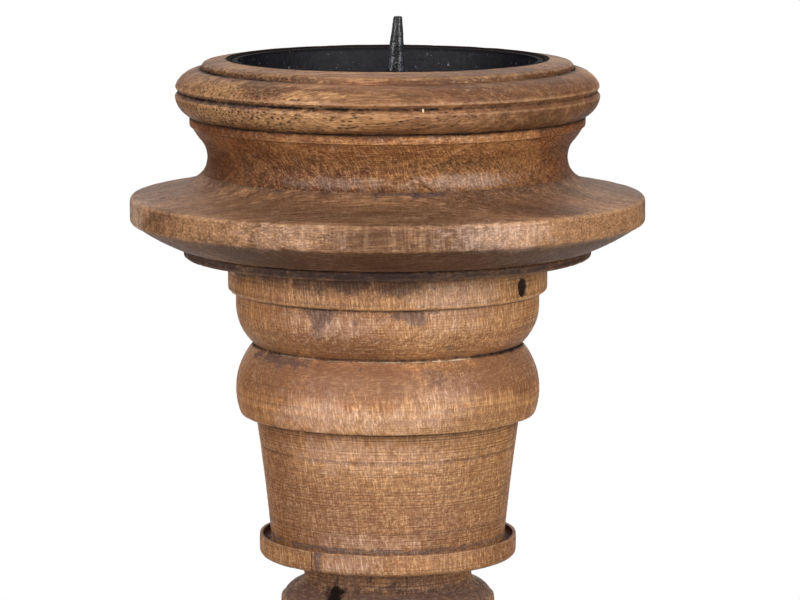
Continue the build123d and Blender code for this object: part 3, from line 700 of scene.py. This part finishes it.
def mango_wood(name, shift, kind):
    """Mango, turned, stained brown and waxed.

    It gives the eye a diffuse brown and gold figure, open pores that are dots on end grain and dashes along it,
    fine fibre, ripple marks and rings from the tool, painted sheen highlights with pale torn-fibre stripes and glints
    in them, and dirt with painted shade in its crevices. The pattern is solid, so it runs through the piece. Growth
    rings are the distance from a pith line that lies along the grain, pores are long cells along it, and lathe lines
    follow the outline by its reach in millimetres.
    """
    material, tree, place = new_material(name)
    grain = kind["grain"]
    pale, middle, deep, blush, bright = kind["tones"]
    lines, waves, speck, thread, painted_sheen, painted_glint, shine = (
        kind[part] for part in ("lines", "waves", "speck", "thread", "painted_sheen", "painted_glint", "shine")
    )
    laid = {"Location": tuple(v * MM for v in shift), "Rotation": (0.05, kind["slope"], 0.06)}
    board = add(tree, "Mapping", {"Vector": place, **laid})
    across_only = tuple(0 if axis == grain else 1000 for axis in "XYZ")
    cover = {coat: add(tree, "Attribute", attribute_name=coat).outputs["Fac"] for coat in coat_names}

    # Ripple marks lean over and sway: their place is moved by up to a few millimetres by a slow noise
    leaning = add(tree, "Mapping", {"Vector": board, "Rotation": (0, kind["lean"], 0)})
    swaying = add(tree, "TexNoise", {"Vector": leaning, "Scale": 1000 / 11, "Detail": 1}).outputs["Color"]
    sway = (kind["sway"] * MM,) * 3
    rippled = add(tree, "VectorMath.MULTIPLY_ADD", {0: swaying, 1: sway, 2: leaning})

    noises = scatter(tree, cover, (
        ("figure", board, grained(grain, 45, 8), 2, 0.5, 0.4, 0.62),
        ("streak", board, grained(grain, 30, 2), 3, 0.2, 0.38, 0.66),
        ("thread", board, grained(grain, kind["run"], kind["fibre"]), 1, 0.1, 0.4, 0.6),
        ("fleck", board, grained(grain, 1.1, 0.55), 2, 0, 0.44, 0.62),
        ("speck", board, grained(grain, 0.62, 0.4), 1, 0.3, 0.46, 0.62),
        ("mottle", board, (420, 420, 420), 4, 0.3, 0.4, 0.64),
        ("cloud", board, grained(grain, 60, 24), 2, 0.3, 0.38, 0.64),
        ("pore_zone", board, grained(grain, 30, 9), 2, 0.3, 0.34, 0.5),
        ("wave", rippled, tuple(1000 / v for v in kind["ripple"]), 1, 0, 0.44, 0.6),
        ("line_zone", board, (30, 30, 90), 2, 0.3, 0.3, 0.5),
        ("dirt_and_shade_zone", board, (38, 38, 38), 2, 0, 0.3, 0.66),
        ("rag", board, (330, 330, 330), 5, 0.2, 0.32, 0.68),
    ))
    for title, noise, low, high in (
        ("crest", "wave", 0.47, 0.36), ("lit", "speck", 0.46, 0.34), ("split", "thread", 0.44, 0.32),
    ):
        cover[title] = add(tree, "MapRange", {"Value": noises[noise], "From Min": low, "From Max": high})

    # Growth rings bent by a slow sway, and lathe lines: both are noises of one length
    slow = add(tree, "VectorMath.MULTIPLY", {0: board, 1: grained(grain, 110, 34)})
    drift = add(tree, "TexNoise", {"Vector": slow, "Scale": 1, "Detail": 3}).outputs["Color"]
    square_on = add(tree, "VectorMath.MULTIPLY", {0: board, 1: across_only})
    bent = add(tree, "VectorMath.MULTIPLY_ADD", {0: drift, 1: (34, 34, 34), 2: square_on})
    from_pith = add(tree, "VectorMath.LENGTH", {0: bent}).outputs["Value"]
    for title, length, gap, low, high in (
        ("ring", from_pith, 5, 0.38, 0.64), ("line", cover["reach"], 0.42, 0.5, 0.64),
        ("score", cover["reach"], 1.5, 0.66, 0.74), ("girdle", cover["reach"], 2.4, 0.42, 0.62),
    ):
        at = add(tree, "Math.MULTIPLY", {0: length, 1: 1 / gap})
        look = {"W": at, "Scale": 1, "Detail": 2, "Roughness": 0.6}
        noise = add(tree, "TexNoise", look, noise_dimensions="1D")
        cover[title] = add(tree, "MapRange", {"Value": noise, "From Min": low, "From Max": high})

    # Open pores: long cells, dark near their middles
    pore_length, pore_gap, pore_size, pore_tone = kind["pores"]
    at = add(tree, "VectorMath.MULTIPLY", {0: board, 1: grained(grain, pore_length, pore_gap)})
    cell = add(tree, "TexVoronoi", {"Vector": at, "Scale": 1}).outputs["Distance"]
    cover["cell"] = add(tree, "MapRange", {"Value": cell, "From Min": pore_size, "From Max": 0.45 * pore_size})

    # Ragged edges of figure with its painted light and shade, of dirt and stains with their painted shade, of rubbed
    # arrises
    # and of the painted sheen: raggedness, its share, the coat, and the sums that become 0 and 1. Then covers that are
    # the product of two others.
    for title, rough, share, coat, low, high in (
        ("heart_and_shade", "streak", -0.35, "tone", 0, -0.85), ("sap_and_light", "streak", -0.35, "tone", 0.05, 0.8),
        ("dirt_and_shade", "rag", 0.45, "crevice_dirt_and_shade", 0.4, 1.15), ("stained_and_shaded", "rag", 0.55, "stain_and_shade", 0.55, 1.15),
        ("rubbed", "rag", 0.6, "arris", 0.75, 1.45), ("painted_sheen_patch", "rag", 0.6, "painted_sheen", 0.45, 1.15),
    ):
        sum_of = add(tree, "Math.MULTIPLY_ADD", {0: cover[rough], 1: share, 2: cover[coat]})
        cover[title] = add(tree, "MapRange", {"Value": sum_of, "From Min": low, "From Max": high})
    for title, first, second in (
        ("porous", "pore_zone", "open"), ("pore", "cell", "porous"), ("waves", "wave", "wavy"),
        ("crests", "crest", "wavy"), ("flecks", "fleck", "rough"), ("specks", "speck", "rough"),
        ("lights", "lit", "rough"), ("painted_sheen_stripes", "split", "painted_sheen_patch"), ("splits", "split", "rough"),
        ("lined", "line_zone", "turned"), ("lines", "line", "lined"), ("scores", "score", "lined"),
        ("painted_glint", "crest", "painted_sheen_patch"), ("painted_sparkle", "lit", "painted_sheen_patch"),
    ):
        cover[title] = add(tree, "Math.MULTIPLY", {0: cover[first], 1: cover[second]}, use_clamp=True)
    # The crevice's dirt and painted shade grow darker with its depth and over slow zones of noise.
    deeper = add(tree, "Math.MULTIPLY_ADD", {0: cover["crevice_dirt_and_shade"], 1: 0.3, 2: 0.38})
    darker = add(tree, "Math.MULTIPLY_ADD", {0: cover["dirt_and_shade_zone"], 1: 0.45, 2: deeper}, use_clamp=True)
    cover["dirt_and_shade"] = add(tree, "Math.MULTIPLY", {0: cover["dirt_and_shade"], 1: darker})

    # Painted light and shade in these layers: the sheen patch, glint, sparkle and stripe colours are painted
    # highlights, the crevice dirt and the stains carry painted shade too, and heartwood and sapwood carry the tone's
    # painted shade and light.
    body = lay_over(tree, cover, linear(middle), (
        ("ring", 0.55, pale), ("figure", 0.5, deep), ("cloud", 0.45, blush), ("heart_and_shade", 0.8, deep),
        ("sap_and_light", 0.6, pale), ("streak", 0.42, deep), ("girdle", 0.5 * lines, deep), ("mottle", 0.2, deep),
        ("thread", thread, deep), ("splits", 0.5 * thread, bright), ("flecks", 0.9 * speck, deep),
        ("specks", speck, deep), ("lights", 0.7 * speck, bright), ("crests", 0.35 * waves, bright),
        ("waves", waves, deep), ("lines", lines, "#4a2b16"), ("scores", 0.5 * lines, "#33200f"),
        ("pore", pore_tone, "#24150c"), ("painted_sheen_patch", painted_sheen, "#ecc4ac"), ("painted_glint", painted_glint, "#f0d8c8"),
        ("painted_sparkle", 0.7 * painted_sheen, "#ecccba"), ("painted_sheen_stripes", 1.1 * painted_sheen, "#f0d4bc"), ("rubbed", 0.34, "#c99c72"),
        ("stained_and_shaded", 0.58, "#463f43"), ("dirt_and_shade", 0.97, "#15100f"), ("bare", 0.85, "#ecd6b8"),
    ))
    relief, gloss = emboss(tree, cover, kind["gloss"], (
        ("ring", 0.02, 0), ("thread", -0.04, 0.05), ("mottle", -0.03, 0.03), ("cloud", 0, 0.06), ("rag", 0.02, 0),
        ("fleck", -0.03, 0.04), ("speck", -0.03, 0.04), ("waves", -0.06 * waves, 0), ("lines", -0.05 * lines, 0.04),
        ("pore", -0.12, 0.2), ("dirt_and_shade", 0, 0.25), ("stained_and_shaded", 0, 0.12), ("rubbed", 0, -0.06), ("painted_sheen_patch", 0, -0.04),
    ))
    matt = add(tree, "Math.MAXIMUM", {0: cover["dirt_and_shade"], 1: cover["stained_and_shaded"]})
    matt = add(tree, "Math.MAXIMUM", {0: matt, 1: at_a_glance(tree)})
    shine = add(tree, "Math.MULTIPLY_ADD", {0: matt, 1: -0.9 * shine, 2: shine})
    surface = {"Base Color": body, "Roughness": gloss, "Normal": relief, "Specular IOR Level": shine}
    add(tree, "OutputMaterial", {"Surface": add(tree, "BsdfPrincipled", surface)})
    return material


def black_paint(name, body, dust, gloss, shine, lip_level=None):
    """Stoving enamel sprayed on iron: near black, an orange-peel skin, dust and scratches. The metal shows a bluish
    grey where the skin is rubbed through on the spike's corners, a colour that also serves as painted highlight bands
    down the spike, and the dish's lip is matt."""
    material, tree, place = new_material(name)
    cover = {"arris": add(tree, "Attribute", attribute_name="arris").outputs["Fac"], "lip": 0}
    if lip_level:
        up = add(tree, "SeparateXYZ", {0: place}).outputs["Z"]
        lip_low, lip_high = (lip_level - 1.2) * MM, (lip_level - 0.2) * MM
        cover["lip"] = add(tree, "MapRange", {"Value": up, "From Min": lip_low, "From Max": lip_high})
    scatter(tree, cover, (
        ("peel", place, (700, 700, 700), 2, 0.3, 0.3, 0.7), ("dust", place, (110, 110, 110), 6, 0.3, 0.5, 0.75),
        ("speck", place, (900, 900, 900), 1, 0.3, 0.7, 0.78), ("scratch", place, (60, 900, 260), 2, 0.3, 0.66, 0.74),
        ("rag", place, (500, 500, 350), 4, 0.3, 0.35, 0.65),
    ))
    # On the spike's corners the rubbed colour is worn-through metal and painted highlight bands at once.
    cover["rubbed"] = add(tree, "Math.MULTIPLY", {0: cover["rag"], 1: cover["arris"]}, use_clamp=True)
    body = lay_over(tree, cover, linear(body), (
        ("dust", dust, "#353235"), ("scratch", 0.16, "#5b5a5e"), ("speck", 0.5, "#8a8784"),
        ("rubbed", 0.46, "#a4a6bc"), ("lip", 0.6, "#0e0d0e"),
    ))
    relief, gloss = emboss(tree, cover, gloss, (
        ("peel", 0.07, 0.08), ("rag", 0.09, 0.08), ("scratch", -0.02, 0.1), ("dust", 0, 0.2), ("rubbed", -0.05, -0.1),
        ("lip", 0, 0.45),
    ))
    shine = add(tree, "Math.MULTIPLY_ADD", {0: at_a_glance(tree), 1: -0.95 * shine, 2: shine})
    surface = {"Base Color": body, "Roughness": gloss, "Normal": relief, "Specular IOR Level": shine}
    paint = add(tree, "BsdfPrincipled", {**surface, "Metallic": cover["rubbed"]})
    add(tree, "OutputMaterial", {"Surface": paint})
    return material


def zinc_steel():
    """Zinc-plated steel: grey metal with soft crystals in its plating."""
    material, tree, place = new_material("zinc_plated_steel")
    flake = add(tree, "TexVoronoi", {"Vector": place, "Scale": 700}).outputs["Color"]
    cloud = add(tree, "TexNoise", {"Vector": place, "Scale": 160, "Detail": 4})
    body = add(tree, "Mix", {"Factor": cloud, "A": linear("#a9adb2"), "B": linear("#c8cbd0")}, data_type="RGBA")
    tone = add(tree, "Mix", {"Factor": 0.08, "A": body, "B": flake}, data_type="RGBA")
    grey = add(tree, "RGBToBW", {"Color": tone})
    gloss = add(tree, "MapRange", {"Value": cloud, "From Min": 0.3, "From Max": 0.7, "To Min": 0.28, "To Max": 0.5})
    relief = add(tree, "Bump", {"Height": cloud, "Distance": 0.02 * MM, "Strength": 1})
    steel = add(tree, "BsdfPrincipled", {"Base Color": grey, "Roughness": gloss, "Normal": relief, "Metallic": 1})
    add(tree, "OutputMaterial", {"Surface": steel})
    return material


def pressed_felt():
    """Brown wool felt: a matt mat of fine crossed fibres, a little uneven in tone."""
    material, tree, place = new_material("pressed_wool_felt")
    fuzz = add(tree, "TexNoise", {"Vector": place, "Scale": 1400, "Detail": 5, "Distortion": 1.5})
    tuft = add(tree, "TexNoise", {"Vector": place, "Scale": 160, "Detail": 3})
    body = add(tree, "Mix", {"Factor": fuzz, "A": linear("#2b211b"), "B": linear("#5d4a3d")}, data_type="RGBA")
    tone = add(tree, "Mix", {"Factor": tuft, "A": body, "B": linear("#3d2f26")}, data_type="RGBA")
    relief = add(tree, "Bump", {"Height": fuzz, "Distance": 0.4 * MM, "Strength": 1})
    surface = {"Base Color": tone, "Roughness": 0.95, "Normal": relief, "Sheen Weight": 0.4}
    add(tree, "OutputMaterial", {"Surface": add(tree, "BsdfPrincipled", surface)})
    return material


# Kinds of wood: boards lie flat, and columns stand. Lengths are in millimetres: how wide a fibre is and how far it
# runs, the ripple marks along X, Y and Z, how far these sway, and the pores' length and gap, which their size and
# darkness follow. The tones are pale, middle, deep, blush and bright. Slope and lean are in radians, and the rest are
# shares.
rim_board = {
    "tones": ("#ce9d69", "#966844", "#452711", "#8c543a", "#d4aa80"), "fibre": 0.5, "run": 9, "thread": 0.42,
    "ripple": (0.8, 3.5, 4.5), "lean": 0, "sway": 1.5, "waves": 0.16, "lines": 0.14, "gloss": 0.42, "shine": 0.22,
    "pores": (2.4, 0.82, 0.42, 0.95), "slope": 0.04, "painted_sheen": 0.15, "painted_glint": 0.1, "speck": 0.15, "grain": "X",
}
neck_board = {
    **rim_board, "tones": ("#cd935a", "#97603b", "#4a2713", "#90492d", "#d09e70"), "speck": 0.26, "lines": 0.08,
    "ripple": (0.45, 2.2, 2.2), "lean": 0.42, "sway": 5, "waves": 0.46, "painted_sheen": 0.26, "painted_glint": 0.2,
    "pores": (2.8, 0.9, 0.3, 0.6), "shine": 0.14,
}
plate_board = {
    **neck_board, "tones": ("#d59f6e", "#8c6449", "#482c1a", "#82573d", "#cda888"), "speck": 0.2, "lines": 0.24,
    "ripple": (0.7, 5, 6), "lean": 0, "sway": 0.8, "waves": 0.32, "painted_sheen": 0.18, "painted_glint": 0.14, "shine": 0.19,
}
column = {
    "tones": ("#dda76c", "#ba824f", "#6e4326", "#c07f52", "#e8c092"), "fibre": 0.5, "run": 4, "thread": 0.56,
    "ripple": (2, 2, 0.42), "lean": 0, "sway": 0.8, "waves": 0.46, "lines": 0.7, "gloss": 0.4, "shine": 0.36,
    "pores": (2.8, 0.75, 0.26, 0.45), "slope": 0.12, "painted_sheen": 0.2, "painted_glint": 0, "speck": 0.24, "grain": "Z",
}
dowel = {**column, "tones": ("#dcbf96", "#cdaa7d", "#b08a5f", "#d2ad84", "#e2caa4"), "gloss": 0.6}
woods = {
    node: mango_wood("mango_" + node + "_waxed", shift, kind)
    for node, (shift, kind) in zip(stand_outline, (
        ((40, 11, -30), rim_board), ((-20, 26, -75), plate_board), ((70, -18, 15), neck_board), ((24, 31, 60), column),
        ((-16, 34, 20), column), ((15, -12, -370), plate_board), ((-35, 9, -300), neck_board),
        ((12, 20, -400), rim_board),
    ))
}

for node, piece in turn_stand().items():
    piece.data.materials.append(woods[node])
    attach(piece, "root")
    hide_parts(node)

spike = forge_spike()
spike.data.materials.append(black_paint("black_paint_on_forged_iron", "#060608", 0.12, 0.22, 0.37))
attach(spike, "root")
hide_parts("pricket_spike")

felt = press_felt()
felt.data.materials.append(pressed_felt())
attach(felt, "root")
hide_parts("felt_disc")

dish_paint = black_paint("black_paint_on_pressed_iron", "#111015", 0.26, 0.5, 0.16, dish_lip_level)
steel = zinc_steel()
dowel_wood = mango_wood("beech_dowel_bare", (0, 40, 0), dowel)
for nodes, material in (
    (("candle_pan", "pan_screws"), dish_paint),
    (("base_lag_screw", "base_lag_washer", "cup_lag_screw", "cup_lag_washer", "spike_washer"), steel),
    (("column_dowel",), dowel_wood),
):
    for node in nodes:
        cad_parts[node].data.materials.clear()
        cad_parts[node].data.materials.append(material)


def seen_directly(tree):
    """1 where the eye sees a thing itself, through glass or in a mirror, and 0 where it only gives others light."""
    rays = add(tree, "LightPath").outputs
    seen = add(tree, "Math.MAXIMUM", {0: rays["Is Camera Ray"], 1: rays["Is Glossy Ray"]})
    return add(tree, "Math.MAXIMUM", {0: seen, 1: rays["Is Transmission Ray"]})


def lay_floor():
    """Pale floor: a round sheet whose colour goes over into the white background well behind the stand."""
    radii = np.array([0.0001, 150, 300, 500, 800, 1500, 3000, 6000])[:, None]
    angles = np.linspace(0, full_circle, 96, endpoint=False)
    points = carried(radii, 0, angles)
    faces = [face[::-1] for face in skin(len(radii), len(angles), False)[: (len(radii) - 1) * len(angles)]]
    floor = build("floor", points.reshape(-1, 3), faces, {})
    material, tree, place = new_material("pale_studio_floor")
    near, beyond = 0.35, 0.85
    away = add(tree, "VectorMath.LENGTH", {0: place}).outputs["Value"]
    fade = {"Value": away, "From Min": near, "From Max": beyond}
    far = add(tree, "MapRange", fade, interpolation_type="SMOOTHSTEP")
    seen = seen_directly(tree)
    amount = add(tree, "Math.MULTIPLY", {0: far, 1: seen})
    paper = add(tree, "Mix", {"Factor": seen, "A": linear("#8c8a88"), "B": linear("#eae9e7")}, data_type="RGBA")
    matt = add(tree, "BsdfDiffuse", {"Color": paper})
    white = add(tree, "Emission", {"Color": (1, 1, 1, 1), "Strength": 1})
    both = add(tree, "MixShader", {0: amount, 1: matt, 2: white})
    add(tree, "OutputMaterial", {"Surface": both})
    floor.data.materials.append(material)


def hang_soft_box(name, azimuth, height, distance, size, watts, aim=0.29):
    """Area lamp at an azimuth in degrees right of the front, facing the stand."""
    lamp = bpy.data.lights.new(name, "AREA")
    lamp.shape, lamp.size, lamp.size_y, lamp.energy = "RECTANGLE", *size, watts
    box = bpy.data.objects.new(name, lamp)
    turn = bearing(azimuth)
    box.location = (distance * math.cos(turn), distance * math.sin(turn), height)
    box.rotation_euler = (Vector((0, 0, aim)) - box.location).to_track_quat("-Z", "Y").to_euler()
    bpy.context.collection.objects.link(box)


lay_floor()
hang_soft_box("left_box", -44, 0.76, 1.3, (0.5, 0.8), 18)
hang_soft_box("right_box", 40, 0.76, 1.3, (0.5, 0.8), 20.7)
hang_soft_box("top_box", 180, 1.5, 0.5, (1.2, 1.2), 5)

world = bpy.data.worlds.new("white_studio")
bpy.context.scene.world = world
world.use_nodes = True
sky = world.node_tree
sky.nodes.clear()
level = add(sky, "MapRange", {"Value": seen_directly(sky), "To Min": 0.2, "To Max": 1})
add(sky, "OutputWorld", {"Surface": add(sky, "Background", {"Color": (1, 1, 1, 1), "Strength": level})})

# The photograph's camera, in metres, found from the ellipses of the stand's rings
look_down = 8.13  # degrees
lens = bpy.data.cameras.new("photo_view")
lens.lens, lens.sensor_width, lens.clip_end = 191.5, 36, 50
camera = bpy.data.objects.new("photo_view", lens)
camera.location = (0.0036, -1.237, 0.474)
camera.rotation_euler = (math.radians(90 - look_down), 0, 0)
bpy.context.collection.objects.link(camera)
bpy.context.scene.camera = camera
bpy.context.scene.view_settings.view_transform = "Standard"

bpy.context.view_layer.update()
